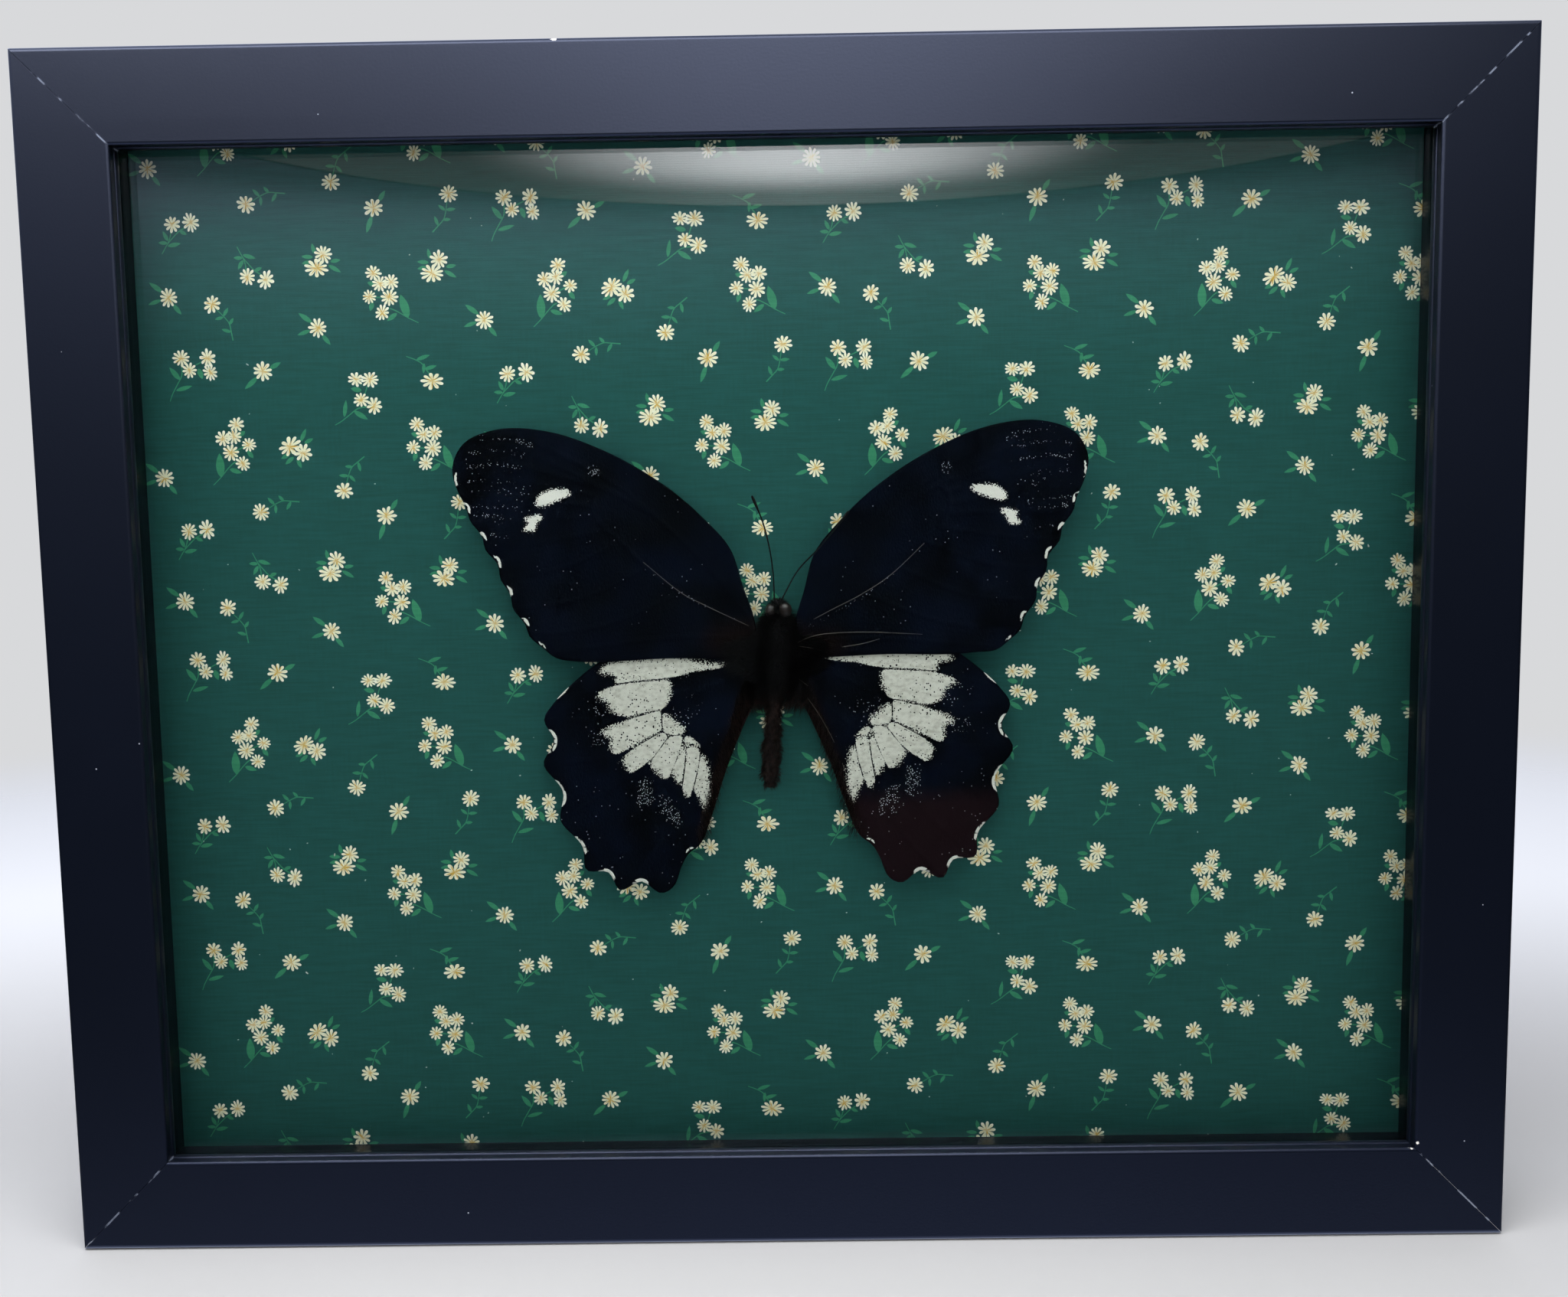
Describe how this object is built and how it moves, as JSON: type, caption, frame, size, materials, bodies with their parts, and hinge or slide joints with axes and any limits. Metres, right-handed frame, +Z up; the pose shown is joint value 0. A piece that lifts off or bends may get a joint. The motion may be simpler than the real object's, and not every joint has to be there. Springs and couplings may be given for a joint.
{
  "type": "framed butterfly specimen",
  "caption": "Spread black and white swallowtail butterfly on daisy-print cloth behind glass in a black shadow-box frame, with turn buttons that open the back.",
  "frame": {"origin": "middle of the underside of the bottom rail, halfway between the front face and the rear face", "axes": "+X to the viewer's right along the frame's width, +Y from the glass towards the back, +Z up"},
  "size_m": [0.284, 0.03, 0.2332],
  "materials": {
    "black_frame": "satin blue-black wrap on MDF",
    "glass": "clear float glass",
    "black_liner": "black, smooth satin-gloss",
    "printed_cotton": "dark green woven cotton with a small cream daisy print",
    "foam_board": "white foam board",
    "hardboard": "smooth brown hardboard",
    "zinc_steel": "zinc-plated pressed steel",
    "wing_scales": "velvety blue-black scales with white markings",
    "insect_body": "dark brown hair over a hard shell",
    "dried_glue": "clear yellowish dried glue"
  },
  "bodies": {
    "frame": {"rail_top": "black_frame", "rail_bottom": "black_frame", "rail_left": "black_frame", "rail_right": "black_frame", "glass_pane": "glass", "liner_top": "black_liner", "liner_bottom": "black_liner", "liner_left": "black_liner", "liner_right": "black_liner", "backing_fabric": "printed_cotton", "mount_board": "foam_board", "backing_board": "hardboard", "turn_rivet_1": "zinc_steel", "turn_rivet_2": "zinc_steel", "turn_rivet_3": "zinc_steel", "turn_rivet_4": "zinc_steel", "hanger": "zinc_steel", "hanger_nail_left": "zinc_steel", "hanger_nail_right": "zinc_steel", "butterfly_body": "insect_body", "forewing_left": "wing_scales", "forewing_right": "wing_scales", "hindwing_left": "wing_scales", "hindwing_right": "wing_scales", "antenna_left": "insect_body", "antenna_right": "insect_body", "glue_dab": "dried_glue"},
    "turn_button_1": {"turn_button_1": "zinc_steel"},
    "turn_button_2": {"turn_button_2": "zinc_steel"},
    "turn_button_3": {"turn_button_3": "zinc_steel"},
    "turn_button_4": {"turn_button_4": "zinc_steel"}
  },
  "joints": [
    {"name": "turn_1", "type": "hinge", "parent": "frame", "child": "turn_button_1", "pos_m": [-0.1204, 0.00825, 0.06], "axis": [0, 1, 0], "continuous": true},
    {"name": "turn_2", "type": "hinge", "parent": "frame", "child": "turn_button_2", "pos_m": [-0.1204, 0.00825, 0.1732], "axis": [0, 1, 0], "continuous": true},
    {"name": "turn_3", "type": "hinge", "parent": "frame", "child": "turn_button_3", "pos_m": [0.1204, 0.00825, 0.06], "axis": [0, 1, 0], "continuous": true},
    {"name": "turn_4", "type": "hinge", "parent": "frame", "child": "turn_button_4", "pos_m": [0.1204, 0.00825, 0.1732], "axis": [0, 1, 0], "continuous": true}
  ]
}
